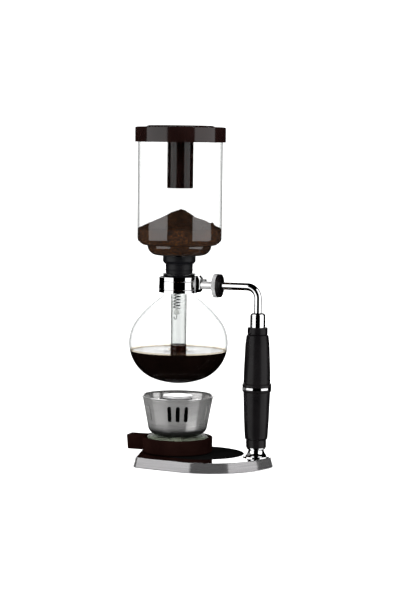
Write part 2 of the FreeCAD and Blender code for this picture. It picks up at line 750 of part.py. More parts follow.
def windshield():
    """Spun steel cup round the flame, with groups of upright slots."""
    t = SHIELD_T
    round_r = SHIELD_LOW_R - SHIELD_FLOOR_R
    round_z = SHIELD_LOW + round_r
    lip_round = SHIELD_LIP_R - SHIELD_TOP_R
    lip_z = SHIELD_TOP_Z
    cup = Path(SHIELD_HOLE_R, SHIELD_LOW).to(SHIELD_FLOOR_R, SHIELD_LOW)
    cup.arc(SHIELD_FLOOR_R, round_z, -8)
    cup.to(SHIELD_TOP_R, lip_z).arc(SHIELD_TOP_R + lip_round, lip_z, 92)
    cup.to(SHIELD_LIP_R, SHIELD_LIP_Z + 0.2).to(SHIELD_LIP_R, SHIELD_LIP_Z + 0.2 + t)
    cup.arc(SHIELD_TOP_R + lip_round, lip_z, 180)
    cup.to(SHIELD_FLOOR_R + round_r * cos(radians(8)) - t, round_z - 0.8)
    cup.arc(SHIELD_FLOOR_R, round_z, -90).to(SHIELD_HOLE_R, SHIELD_LOW + t)
    shell = cup.turned()
    cutters = []
    for group in range(SLOT_GROUPS):
        for step in (-1, 0, 1):
            cutters.append(slot_cutter(SLOT_FIRST + 360 / SLOT_GROUPS * group + SLOT_STEP * step))
    return shell.cut(Part.makeCompound(cutters))


def slot_cutter(angle):
    """Upright slot with round ends, cutting outwards through the wall."""
    half = SLOT_W / 2
    reach = 45.0
    low = V(0, 0, SLOT_LOW + half)
    high = V(0, 0, SLOT_HIGH - half)
    middle = Part.makeBox(reach, SLOT_W, high.z - low.z, V(0, -half, low.z))
    cutter = middle.fuse([Part.makeCylinder(half, reach, low, X_AXIS),
                          Part.makeCylinder(half, reach, high, X_AXIS)])
    cutter.rotate(ORIGIN, Z_AXIS, angle)
    return cutter


def snuffer_top():
    disc = Path(0.0, CAP_DISC_LOW).to(CAP_R - 0.4, CAP_DISC_LOW).to(CAP_R, CAP_DISC_LOW + 0.4)
    disc.to(CAP_R, CAP_TOP - 1.6).arc(CAP_R - 1.2, CAP_TOP - 1.6, 80)
    disc.to(CAP_R - 4.0, CAP_TOP - 0.15).to(0.0, CAP_TOP)
    return disc.turned()


def snuffer_skirt():
    """Heat-proof skirt of the cap, which stands over the wick on its collar."""
    wall = 1.2
    wide = CAP_R - 0.5
    skirt = Path(CAP_NECK_R - wall, CAP_LOW).to(CAP_NECK_R, CAP_LOW).to(CAP_NECK_R, 50.0)
    skirt.to(wide, 52.4).to(wide, CAP_DISC_LOW).to(wide - wall, CAP_DISC_LOW)
    skirt.to(wide - wall, 53.0).to(CAP_NECK_R - wall, 50.6)
    return skirt.turned()


MAKERS = [
    base_shell, base_inlay, base_ballast, base_pad, base_washer, base_nut, tie_rod,
    post_foot, grip_lower, grip_ring, grip_upper, ferrule, arm_rod, retaining_clip,
    knob_rim, knob_core, knob_bush,
    flask_neck, flask_shoulder, flask_belly, brewed_coffee,
    neck_liner, neck_band, neck_bracket, clamp_boss, set_screw,
    upper_bowl, bowl_gasket, filter_bottom_plate, filter_cloth, filter_top_plate,
    filter_spindle, filter_nut, filter_spring, filter_bead, filter_hook, coffee_grounds,
    lid_cap, lid_socket,
    lamp_cradle, lamp_glass, lamp_fuel, wick_collar, wick,
    windshield, snuffer_top, snuffer_skirt,
]


def write_parts():
    os.makedirs("parts", exist_ok=True)
    for make in MAKERS:
        shape = make()
        if not shape.isValid() or shape.Volume <= 0:
            print("not a sound solid:", make.__name__)
        print(f"{make.__name__}: {len(shape.Solids)} solid, {shape.Volume / 1000:.2f} cm3")
        shape.exportStep(f"parts/{make.__name__}.step")


write_parts()
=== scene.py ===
import functools
import math
import random

import bmesh
import bpy
from mathutils import Matrix, Vector, noise


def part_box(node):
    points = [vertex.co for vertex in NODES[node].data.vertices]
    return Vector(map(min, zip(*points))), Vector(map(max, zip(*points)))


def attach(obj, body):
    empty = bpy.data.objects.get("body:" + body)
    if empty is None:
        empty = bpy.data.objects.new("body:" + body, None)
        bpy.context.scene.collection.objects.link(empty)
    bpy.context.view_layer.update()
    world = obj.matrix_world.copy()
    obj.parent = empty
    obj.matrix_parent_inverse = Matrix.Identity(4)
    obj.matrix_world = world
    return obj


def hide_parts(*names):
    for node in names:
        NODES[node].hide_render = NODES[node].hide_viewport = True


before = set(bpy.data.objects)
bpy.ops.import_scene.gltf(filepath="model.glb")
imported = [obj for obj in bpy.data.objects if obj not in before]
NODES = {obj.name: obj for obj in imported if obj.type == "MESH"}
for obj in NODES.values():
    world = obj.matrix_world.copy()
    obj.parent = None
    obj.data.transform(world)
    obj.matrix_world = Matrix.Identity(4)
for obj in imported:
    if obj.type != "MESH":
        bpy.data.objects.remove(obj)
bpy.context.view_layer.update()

# Looks of a siphon coffee maker, fitted to its CAD parts. Blender's unit is the metre, and
# outlines are written in millimetres and scaled by MM. +X points from the bowls to the grip post.

MM = 0.001
Z_UP = Vector((0, 0, 1))


@functools.cache
def corners(node):
    """Lowest and highest corner of a CAD node, in millimetres."""
    lowest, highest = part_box(node)
    return lowest / MM, highest / MM


def low(node):
    return corners(node)[0]


def high(node):
    return corners(node)[1]


# ---- camera ----

CAMERA_AZIMUTH = math.radians(20.0)
CAMERA_YAW = math.radians(0.646)      # turned to the right, towards the post
CAMERA_PITCH = math.radians(4.81)
CAMERA_ROLL = math.radians(0.65)
CAMERA_DISTANCE = 1.8626
CAMERA_HEIGHT = 0.3187
CAMERA_LENS = 112.8


def make_camera():
    data = bpy.data.cameras.new("camera")
    data.lens = CAMERA_LENS
    data.sensor_width = 36.0
    data.clip_start = 0.05
    data.clip_end = 50.0
    camera = bpy.data.objects.new("camera", data)
    bpy.context.scene.collection.objects.link(camera)
    heading = Matrix.Rotation(CAMERA_AZIMUTH - CAMERA_YAW, 4, "Z")
    tilt = Matrix.Rotation(math.radians(90) - CAMERA_PITCH, 4, "X")
    roll = Matrix.Rotation(CAMERA_ROLL, 4, "Z")
    place = Vector((math.sin(CAMERA_AZIMUTH), -math.cos(CAMERA_AZIMUTH), 0)) * CAMERA_DISTANCE
    place.z = CAMERA_HEIGHT
    camera.matrix_world = Matrix.Translation(place) @ heading @ tilt @ roll
    bpy.context.scene.camera = camera


# ---- studio ----

WORLD_LIGHT = 1.6
BOX_DISTANCE = 1.3
BOX_SPAN = math.radians(29.5)        # half the angle that each tall softbox takes up
LEFT_BOX = CAMERA_AZIMUTH - math.radians(62.5)
RIGHT_BOX = CAMERA_AZIMUTH + math.radians(64.5)
BACK_BOX = CAMERA_AZIMUTH + math.radians(180.0)


def softbox(name, azimuth, distance, width, bottom, top, radiance):
    """Upright light panel that faces the object."""
    data = bpy.data.lights.new(name, "AREA")
    data.shape = "RECTANGLE"
    data.size = width
    data.size_y = top - bottom
    data.energy = radiance * math.pi * width * (top - bottom)
    lamp = bpy.data.objects.new(name, data)
    bpy.context.scene.collection.objects.link(lamp)
    outward = Vector((math.sin(azimuth), -math.cos(azimuth), 0))
    lamp.location = outward * distance + Z_UP * (top + bottom) / 2
    lamp.rotation_euler = outward.to_track_quat("Z", "Y").to_euler()
    lamp.visible_camera = False
    return lamp


def make_studio():
    """White surroundings that light the object. What shines in polished surfaces is only the two
    tall softboxes and the lit wall behind the object."""
    scene = bpy.context.scene
    scene.view_settings.view_transform = "Standard"
    scene.view_settings.look = "None"
    world = bpy.data.worlds.new("studio")
    world.use_nodes = True
    background = world.node_tree.nodes["Background"]
    background.inputs["Color"].default_value = (1.0, 1.0, 1.0, 1.0)
    background.inputs["Strength"].default_value = WORLD_LIGHT
    world.cycles_visibility.glossy = False
    scene.world = world
    width = 2 * BOX_DISTANCE * math.tan(BOX_SPAN)
    for name, azimuth in (("softbox_left", LEFT_BOX), ("softbox_right", RIGHT_BOX)):
        softbox(name, azimuth, BOX_DISTANCE, width, bottom=-0.4, top=1.7, radiance=1.5)
    softbox("softbox_back", BACK_BOX, 2.2, width=1.9, bottom=0.0, top=1.1, radiance=1.8)

    bpy.ops.mesh.primitive_plane_add(size=60.0, location=(0, 0, 0))
    floor = bpy.context.object
    floor.name = "floor"
    floor.data.materials.append(floor_material())
    floor.visible_glossy = False


# ---- materials ----

class Shader:
    """A Principled material with short ways to add texture nodes to it."""

    def __init__(self, name, **inputs):
        self.material = bpy.data.materials.new(name)
        self.material.use_nodes = True
        self.tree = self.material.node_tree
        self.surface = self.tree.nodes["Principled BSDF"]
        self.output = self.tree.nodes["Material Output"]
        for key, value in inputs.items():
            socket = self.surface.inputs[key.replace("_", " ")]
            socket.default_value = value
        self.normal = None

    def node(self, kind, **settings):
        made = self.tree.nodes.new(kind)
        for key, value in settings.items():
            setattr(made, key, value)
        return made

    def link(self, source, target):
        self.tree.links.new(source, target)

    def place(self, stretch=(1, 1, 1)):
        """Object coordinates in metres, scaled along each axis."""
        coordinates = self.node("ShaderNodeTexCoord")
        mapping = self.node("ShaderNodeMapping")
        mapping.inputs["Scale"].default_value = stretch
        self.link(coordinates.outputs["Object"], mapping.inputs["Vector"])
        return mapping.outputs["Vector"]

    def noise(self, scale, detail=3.0, roughness=0.5, stretch=(1, 1, 1)):
        texture = self.node("ShaderNodeTexNoise")
        texture.inputs["Scale"].default_value = scale
        texture.inputs["Detail"].default_value = detail
        texture.inputs["Roughness"].default_value = roughness
        self.link(self.place(stretch), texture.inputs["Vector"])
        return texture.outputs["Fac"]

    def ramp(self, source, stops):
        """Maps a number to colours, by (position, colour) stops."""
        ramp = self.node("ShaderNodeValToRGB")
        elements = ramp.color_ramp.elements
        while len(elements) < len(stops):
            elements.new(0.5)
        for element, (position, colour) in zip(elements, stops):
            element.position = position
            element.color = (*colour, 1.0) if len(colour) == 3 else colour
        self.link(source, ramp.inputs["Fac"])
        return ramp.outputs["Color"]

    def spread(self, source, low_value, high_value, start=0.3, end=0.7):
        """Maps a number to a range."""
        mapping = self.node("ShaderNodeMapRange")
        mapping.inputs["From Min"].default_value = start
        mapping.inputs["From Max"].default_value = end
        mapping.inputs["To Min"].default_value = low_value
        mapping.inputs["To Max"].default_value = high_value
        self.link(source, mapping.inputs["Value"])
        return mapping.outputs["Result"]

    def colour(self, source):
        self.link(source, self.surface.inputs["Base Color"])

    def rough(self, source):
        self.link(source, self.surface.inputs["Roughness"])

    def bump(self, height, strength, distance):
        bump = self.node("ShaderNodeBump")
        bump.inputs["Strength"].default_value = strength
        bump.inputs["Distance"].default_value = distance
        self.link(height, bump.inputs["Height"])
        if self.normal is not None:
            self.link(self.normal, bump.inputs["Normal"])
        self.normal = bump.outputs["Normal"]
        self.link(self.normal, self.surface.inputs["Normal"])


def floor_material():
    shader = Shader("floor_white", Roughness=0.9, Specular_IOR_Level=0.0)
    shader.colour(shader.ramp(shader.noise(3.0), [(0.0, (0.975,) * 3), (1.0, (1.0,) * 3)]))
    return shader.material


def chrome():
    """Bright plating with faint smudges."""
    shader = Shader("chrome_plating", Metallic=1.0)
    smudge = shader.noise(60.0, 4.0)
    shader.colour(shader.ramp(smudge, [(0.3, (0.83, 0.835, 0.845)), (0.7, (0.88, 0.88, 0.885))]))
    shader.rough(shader.spread(smudge, 0.025, 0.07))
    shader.bump(shader.noise(25.0, 1.0), 0.03, 0.0006)
    return shader.material


def base_metal():
    """Chrome base: mirror on top, fine brushing along the upright edge, whose darker colour there
    is painted shade.
    """
    shader = Shader("base_plating")
    facing = shader.node("ShaderNodeSeparateXYZ")
    geometry = shader.node("ShaderNodeNewGeometry")
    shader.link(geometry.outputs["Normal"], facing.inputs["Vector"])
    side = shader.spread(facing.outputs["Z"], 1.0, 0.0, 0.35, 0.75)
    grain = shader.noise(900.0, 3.0, 0.6, (0.03, 0.03, 1.0))
    # painted shade: the upright edge takes a far darker grey than the top; only its grain,
    # roughness and lower metallic are the brushing
    shade = shader.node("ShaderNodeMix", data_type="RGBA")
    shader.link(side, shade.inputs["Factor"])
    shade.inputs["A"].default_value = (0.88, 0.88, 0.885, 1.0)
    shader.link(shader.ramp(grain, [(0.25, (0.24, 0.235, 0.24)), (0.75, (0.33, 0.325, 0.33))]),
                shade.inputs["B"])
    shader.colour(shade.outputs["Result"])
    shader.rough(shader.spread(side, 0.03, 0.12, 0.0, 1.0))
    shader.link(shader.spread(side, 1.0, 0.84, 0.0, 1.0), shader.surface.inputs["Metallic"])
    return shader.material


def spun_steel():
    """Brushed round the axis, as on a lathe, with painted shade that darkens it towards the bottom,
    where it curves under.
    """
    shader = Shader("spun_steel", Metallic=0.78, Anisotropic=0.75, Anisotropic_Rotation=0.25)
    tangent = shader.node("ShaderNodeTangent", direction_type="RADIAL", axis="Z")
    shader.link(tangent.outputs["Tangent"], shader.surface.inputs["Tangent"])
    grain = shader.noise(1500.0, 4.0, 0.65, (0.02, 0.02, 1.0))
    cloud = shader.noise(45.0, 2.0)
    steel = shader.ramp(grain, [(0.3, (0.50, 0.495, 0.49)), (0.7, (0.68, 0.675, 0.67))])
    place = shader.node("ShaderNodeTexCoord")
    split = shader.node("ShaderNodeSeparateXYZ")
    shader.link(place.outputs["Generated"], split.inputs["Vector"])
    # painted shade: the lowest quarter of the part's height goes to near black where it curves
    # under, for the dark it faces there
    painted_underside_shade = shader.ramp(split.outputs["Z"], [(0.0, (0.03,) * 3), (0.13, (0.08,) * 3),
                                             (0.24, (0.75,) * 3), (0.4, (1.0,) * 3)])
    underside_shaded = shader.node("ShaderNodeMix", data_type="RGBA", blend_type="MULTIPLY")
    underside_shaded.inputs["Factor"].default_value = 1.0
    shader.link(steel, underside_shaded.inputs["A"])
    shader.link(painted_underside_shade, underside_shaded.inputs["B"])
    shader.colour(underside_shaded.outputs["Result"])
    shader.rough(shader.spread(cloud, 0.18, 0.25))
    shader.bump(grain, 0.15, 0.0001)
    return shader.material


def turned_steel():
    """Plain machined steel for fasteners, plates and wire."""
    shader = Shader("turned_steel", Metallic=1.0)
    grain = shader.noise(700.0, 2.0)
    shader.colour(shader.ramp(grain, [(0.3, (0.48, 0.48, 0.49)), (0.7, (0.62, 0.62, 0.62))]))
    shader.rough(shader.spread(grain, 0.16, 0.28))
    return shader.material


def knurled_metal():
    """Diamond knurling, which scatters light from all round."""
    shader = Shader("knurled_metal", Metallic=0.55, Roughness=0.45)
    grain = shader.noise(1100.0, 2.0)
    shader.colour(shader.ramp(grain, [(0.3, (0.42, 0.42, 0.425)), (0.7, (0.62, 0.62, 0.62))]))
    shader.bump(grain, 0.3, 0.0002)
    return shader.material


def porcelain():
    """White glazed bead."""
    shader = Shader("white_bead", IOR=1.5, Roughness=0.12)
    glaze = shader.noise(300.0)
    shader.colour(shader.ramp(glaze, [(0.3, (0.80, 0.80, 0.78)), (0.7, (0.86, 0.86, 0.85))]))
    return shader.material


def dark_wire():
    """Spring wire, dulled by use."""
    shader = Shader("spring_wire", Metallic=0.8)
    grain = shader.noise(900.0, 2.0)
    shader.colour(shader.ramp(grain, [(0.3, (0.10, 0.10, 0.10)), (0.7, (0.18, 0.18, 0.18))]))
    shader.rough(shader.spread(grain, 0.2, 0.35))
    return shader.material


def satin_aluminium():
    shader = Shader("satin_aluminium", Metallic=0.6)
    grain = shader.noise(800.0, 3.0)
    shader.colour(shader.ramp(grain, [(0.3, (0.86, 0.86, 0.865)), (0.7, (0.92, 0.92, 0.92))]))
    shader.rough(shader.spread(grain, 0.18, 0.26))
    shader.bump(grain, 0.05, 0.0001)
    return shader.material


def moulded(name, dark, light, roughness, ripple, specular=0.5):
    """Moulded plastic: slight colour drift, sink ripple and handling marks."""
    shader = Shader(name, IOR=1.5, Specular_IOR_Level=specular)
    cloud = shader.noise(35.0, 3.0)
    shader.colour(shader.ramp(cloud, [(0.35, dark), (0.65, light)]))
    shader.rough(shader.spread(shader.noise(180.0, 5.0, 0.6), roughness, roughness + 0.07))
    shader.bump(shader.noise(160.0, 2.0), ripple, 0.0002)
    return shader.material


def rubber():
    shader = Shader("moulded_rubber", IOR=1.5, Specular_IOR_Level=0.25)
    speck = shader.noise(1400.0, 3.0)
    shader.colour(shader.ramp(speck, [(0.3, (0.002, 0.002, 0.003)), (0.75, (0.006, 0.006, 0.008))]))
    shader.rough(shader.spread(speck, 0.34, 0.48))
    shader.bump(speck, 0.12, 0.0001)
    return shader.material


def clear_glass(name, tint, edge, start, mirror=0.045, sheen=0.12):
    """Thin blown glass: it lets light straight through, darkens where it is seen edge on, from
    start to 1 of the facing value, and mirrors by angle. The same on both faces of the wall."""
    shader = Shader(name)
    shader.tree.nodes.remove(shader.surface)
    facing = shader.node("ShaderNodeLayerWeight")
    facing.inputs["Blend"].default_value = 0.5
    through = shader.node("ShaderNodeBsdfTransparent")
    wall = shader.ramp(facing.outputs["Facing"], [(0.0, tint), (start, tint), (1.0, edge)])
    clouded = shader.node("ShaderNodeMix", data_type="RGBA", blend_type="MULTIPLY")
    clouded.inputs["Factor"].default_value = 1.0
    shader.link(wall, clouded.inputs["A"])
    shader.link(shader.ramp(shader.noise(14.0, 1.0), [(0.3, (0.985,) * 3), (0.7, (1.0,) * 3)]),
                clouded.inputs["B"])
    shader.link(clouded.outputs["Result"], through.inputs["Color"])
    shine = shader.node("ShaderNodeBsdfGlossy")
    shine.inputs["Roughness"].default_value = 0.015
    power = shader.node("ShaderNodeMath", operation="POWER")
    power.inputs[1].default_value = 7.0
    shader.link(facing.outputs["Facing"], power.inputs[0])
    mix = shader.node("ShaderNodeMixShader")
    shader.link(shader.spread(power.outputs["Value"], mirror, sheen, 0.0, 1.0), mix.inputs["Fac"])
    shader.link(through.outputs["BSDF"], mix.inputs[1])
    shader.link(shine.outputs["BSDF"], mix.inputs[2])
    shader.link(mix.outputs["Shader"], shader.output.inputs["Surface"])
    return shader.material


def thin_layer(name, body, passed, share):
    """A liquid or glass that is partly see-through, such as coffee where it is only a film: what
    passes takes its colour."""
    shader = Shader(name, Roughness=0.05, IOR=1.33)
    cloud = shader.noise(120.0, 2.0)
    shader.colour(shader.ramp(cloud, [(0.3, body), (0.7, tuple(1.25 * c for c in body))]))
    clear = shader.node("ShaderNodeBsdfTransparent")
    shader.link(shader.ramp(cloud, [(0.3, passed), (0.7, tuple(1.08 * c for c in passed))]),
                clear.inputs["Color"])
    mix = shader.node("ShaderNodeMixShader")
    mix.inputs["Fac"].default_value = share
    shader.link(shader.surface.outputs["BSDF"], mix.inputs[1])
    shader.link(clear.outputs["BSDF"], mix.inputs[2])
    shader.link(mix.outputs["Shader"], shader.output.inputs["Surface"])
    return shader.material


def black_coffee(name, dark, light, **inputs):
    shader = Shader(name, IOR=1.34, Roughness=0.02, **inputs)
    cloud = shader.noise(50.0, 2.0)
    shader.colour(shader.ramp(cloud, [(0.3, dark), (0.7, light)]))
    return shader.material


def ground_coffee():
    """Moist grounds: dark grains with lighter specks."""
    shader = Shader("ground_coffee", Specular_IOR_Level=0.2)
    grain = shader.noise(520.0, 6.0, 0.75)
    patch = shader.noise(45.0, 3.0)
    dark = shader.ramp(grain, [(0.34, (0.004, 0.001, 0.0004)), (0.50, (0.026, 0.0085, 0.0018)),
                               (0.68, (0.11, 0.040, 0.007))])
    mix = shader.node("ShaderNodeMix", data_type="RGBA", blend_type="MULTIPLY")
    mix.inputs["Factor"].default_value = 1.0
    shader.link(dark, mix.inputs["A"])
    shader.link(shader.ramp(patch, [(0.35, (0.55, 0.50, 0.46)), (0.65, (1.0, 1.0, 1.0))]),
                mix.inputs["B"])
    shader.colour(mix.outputs["Result"])
    shader.rough(shader.spread(grain, 0.55, 0.95))
    shader.bump(grain, 0.8, 0.0006)
    return shader.material


def cotton(name, scale):
    """Woven cotton: two crossing sets of threads."""
    shader = Shader(name, Roughness=0.95, Sheen_Weight=0.3)
    weave = None
    for axis in ("X", "Y"):
        wave = shader.node("ShaderNodeTexWave", bands_direction=axis)
        wave.inputs["Scale"].default_value = scale
        wave.inputs["Distortion"].default_value = 0.6
        shader.link(shader.place(), wave.inputs["Vector"])
        if weave is None:
            weave = wave.outputs["Fac"]
            continue
        both = shader.node("ShaderNodeMath", operation="MULTIPLY")
        shader.link(weave, both.inputs[0])
        shader.link(wave.outputs["Fac"], both.inputs[1])
        weave = both.outputs["Value"]
    shader.colour(shader.ramp(weave, [(0.0, (0.52, 0.47, 0.38)), (0.6, (0.80, 0.76, 0.68))]))
    shader.bump(weave, 0.6, 0.0003)
    return shader.material


def spirit():
    """Clear lamp spirit."""
    return clear_glass("lamp_spirit", (0.86, 0.90, 0.90), (0.55, 0.62, 0.62), 0.7)


# ---- mesh helpers ----

def add_object(name, mesh, material, sharp=30.0):
    mesh.shade_smooth()
    mesh.set_sharp_from_angle(angle=math.radians(sharp))
    mesh.materials.append(material)
    made = bpy.data.objects.new(name, mesh)
    bpy.context.scene.collection.objects.link(made)
    return made


def rounded(corners, steps=7):
    """Outline through (r, z, fillet) corners, each one rounded by its fillet radius."""
    points = []
    count = len(corners)
    for i, (r, z, fillet) in enumerate(corners):
        here = Vector((r, z))
        before = Vector(corners[i - 1][:2])
        after = Vector(corners[(i + 1) % count][:2])
        if fillet <= 0 or (before - here).length < 1e-9 or (after - here).length < 1e-9:
            points.append(here)
            continue
        back = (before - here).normalized()
        ahead = (after - here).normalized()
        half = back.angle(ahead) / 2
        if half > math.radians(89.5):
            points.append(here)
            continue
        reach = min(fillet / math.tan(half), (before - here).length * 0.49,
                    (after - here).length * 0.49)
        radius = reach * math.tan(half)
        centre = here + (back + ahead).normalized() * radius / math.sin(half)
        start = here + back * reach - centre
        end = here + ahead * reach - centre
        sweep = start.angle_signed(end)
        for k in range(steps + 1):
            turned = start.copy()
            turned.rotate(Matrix.Rotation(-sweep * k / steps, 2))
            points.append(centre + turned)
    return [(p.x, p.y) for p in points]


def arc(centre, radius, start, end, steps):
    """Points of an arc, by its angles in degrees."""
    points = []
    for k in range(steps + 1):
        angle = math.radians(start + (end - start) * k / steps)
        points.append((centre[0] + radius * math.cos(angle), centre[1] + radius * math.sin(angle)))
    return points


def lathe(name, outline, material, segments=144, axis=(0.0, 0.0), closed=True, sharp=30.0):
    """Turns an outline of (radius, height) in millimetres about an upright axis at (x, y)."""
    bm = bmesh.new()
    rings = []
    for r, z in outline:
        if r < 1e-6:
            rings.append([bm.verts.new((axis[0] * MM, axis[1] * MM, z * MM))])
            continue
        turn = []
        for k in range(segments):
            angle = 2 * math.pi * k / segments
            turn.append(bm.verts.new(((axis[0] + r * math.cos(angle)) * MM,
                                      (axis[1] + r * math.sin(angle)) * MM, z * MM)))
        rings.append(turn)
    pairs = list(zip(rings, rings[1:] + rings[:1])) if closed else list(zip(rings, rings[1:]))
    for first, second in pairs:
        if len(first) == 1 and len(second) == 1:
            continue
        for k in range(segments):
            following = (k + 1) % segments
            if len(first) == 1:
                bm.faces.new((first[0], second[k], second[following]))
            elif len(second) == 1:
                bm.faces.new((first[k], second[0], first[following]))
            else:
                bm.faces.new((first[k], second[k], second[following], first[following]))
    bmesh.ops.recalc_face_normals(bm, faces=bm.faces)
    mesh = bpy.data.meshes.new(name)
    bm.to_mesh(mesh)
    bm.free()
    return add_object(name, mesh, material, sharp)


# ---- glassware ----

STEM_R = 7.85
STEM_WALL = 1.35
STEM_BORE = STEM_R - STEM_WALL
WALL = 1.5                # blown glass of the flask
BOWL_WALL = 1.6
NECK_R = 14.9
LIP_R = 16.5
EQUATOR_ARC = 38.0        # the flask's outline: arcs round the equator, shoulder and bottom
SHOULDER_ARC = 110.0
SHOULDER_ANGLE = 38.0
BELLY_ARC = 70.0
NECK_FILLET = 5.0


def flask_arcs():
    """Centre, radius, start and end angle of each arc of the flask, from bottom to neck."""
    widest = high("flask_shoulder").x
    equator_z = low("flask_shoulder").z
    lead = math.radians(SHOULDER_ANGLE)
    centre_r = widest - EQUATOR_ARC
    shift = BELLY_ARC - EQUATOR_ARC
    belly = (0.0, equator_z + math.sqrt(shift ** 2 - centre_r ** 2))
    belly_angle = -math.degrees(math.acos(centre_r / shift))
    shift = SHOULDER_ARC - EQUATOR_ARC
    shoulder = (centre_r - shift * math.cos(lead), equator_z - shift * math.sin(lead))
    fillet_r = NECK_R + NECK_FILLET
    reach = SHOULDER_ARC + NECK_FILLET
    fillet = (fillet_r, shoulder[1] + math.sqrt(reach ** 2 - (fillet_r - shoulder[0]) ** 2))
    top = math.degrees(math.atan2(fillet[1] - shoulder[1], fillet_r - shoulder[0]))
    return [
        (belly, BELLY_ARC, -90.0, belly_angle, 24),
        ((centre_r, equator_z), EQUATOR_ARC, belly_angle, SHOULDER_ANGLE, 28),
        (shoulder, SHOULDER_ARC, SHOULDER_ANGLE, top, 14),
        (fillet, -NECK_FILLET, top, 0.0, 8),
    ]


def flask_line(inward):
    """The flask's outline from the bottom up to the neck, moved inwards."""
    points = []
    for centre, radius, start, end, steps in flask_arcs():
        points += arc(centre, radius - inward, start, end, steps)[1 if points else 0:]
    return points


def assign(piece, index, inside):
    """Gives faces another of the piece's materials, by a test of their radius and height."""
    for face in piece.data.polygons:
        centre = face.center / MM
        if inside(math.hypot(centre.x, centre.y), centre.z):
            face.material_index = index


def make_flask(glass, inner_glass):
    lip = high("flask_neck").z
    flare = lip - 4.4
    outer = flask_line(0.0) + [(NECK_R, flare)]
    rim = [(LIP_R - 0.4, lip - 2.0)] + arc((LIP_R - 0.95, lip - 0.95), 0.95, -20, 170, 10)
    inner = [(LIP_R - WALL - 0.5, lip - 2.0), (NECK_R - WALL, flare)]
    outline = outer + rim + inner + list(reversed(flask_line(WALL)))
    piece = lathe("flask_glass", outline, glass, 192, sharp=80)
    piece.data.materials.append(inner_glass)
    inner_faces = len(outer) + len(rim)
    for face in piece.data.polygons:
        if face.index // 192 >= inner_faces:
            face.material_index = 1
    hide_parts("flask_neck", "flask_shoulder", "flask_belly")
    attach(piece, "flask")


STEP_Z = 216.4            # the upper bowl steps in here to its dish
DISH_LOW = 206.4
DISH_R = 31.9
BOWL_ROUND = 7.7          # rounding from the straight wall to the step
DISH_ROUND = 10.0


def bowl_corners(radius, inward):
    """The upper bowl's outline from its straight wall down to the top of the stem."""
    stem = STEM_R - STEM_WALL * inward / BOWL_WALL
    root = 4.0 - inward * 0.25
    return (
        arc((radius - BOWL_ROUND, STEP_Z + BOWL_ROUND), BOWL_ROUND - inward, 0.0, -90.0, 12)
        + arc((DISH_R - DISH_ROUND, DISH_LOW + DISH_ROUND), DISH_ROUND - inward, 0.0, -90.0, 12)
        + arc((stem + root, DISH_LOW + inward - root), root, 90.0, 180.0, 8)
    )


def make_upper_bowl(glass, inner_glass, stem_glass):
    """Tall cylinder, step, dish and the long stem that reaches down into the flask. The stem's
    wall is thick for its width, so its outside has a glass of its own."""
    radius = high("upper_bowl").x
    top = high("upper_bowl").z
    end = low("upper_bowl").z
    wall = BOWL_WALL
    outline = arc((radius - wall / 2, top - wall / 2), wall / 2, 180.0, 0.0, 12)
    outline += bowl_corners(radius, 0.0)
    outline += [(STEM_R, end), (STEM_BORE, end)]
    outline += list(reversed(bowl_corners(radius, wall)))
    piece = lathe("upper_bowl_glass", outline, glass, 192, sharp=80)
    piece.data.materials.append(inner_glass)
    piece.data.materials.append(stem_glass)
    assign(piece, 1, lambda r, z: r < STEM_R - 0.5 or (z > STEP_Z + wall / 2 and r < radius - 1))
    assign(piece, 2, lambda r, z: z < DISH_LOW - 4.0 and r > STEM_R - 0.3)
    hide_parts("upper_bowl")
    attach(piece, "upper")


def make_lamp_glass(glass):
    """Squat spirit font with a short neck."""
    radius = high("lamp_glass").x
    bottom = low("lamp_glass").z
    top = high("lamp_glass").z
    neck = 12.0
    roof = top - 4.0
    wall = 2.0
    outline = rounded([
        (0, bottom, 0), (radius, bottom, 4.0), (radius, roof, 5.5), (neck, roof, 0.8),
        (neck, top, 0.7), (neck - wall, top, 0.7), (neck - wall, roof - wall, 1.0),
        (radius - wall, roof - wall, 4.0), (radius - wall, bottom + wall, 2.5),
        (0, bottom + wall, 0),
    ])
    piece = lathe("lamp_font_glass", outline, glass, 144, sharp=60)
    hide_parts("lamp_glass")
    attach(piece, "burner")


# ---- what the glasses hold ----

FILM_HEIGHT = 1.7
STEM_COFFEE_TOP = 116.6   # the coffee stands higher in the stem than round it
SEEN_INSET = 0.35         # a thick wall magnifies what it holds almost out to its own outline


def interpolate(line, z):
    """Radius of an outline at a height."""
    for (r0, z0), (r1, z1) in zip(line, line[1:]):
        if z0 <= z <= z1:
            return r0 + (r1 - r0) * (z - z0) / (z1 - z0)
    return line[-1][0]


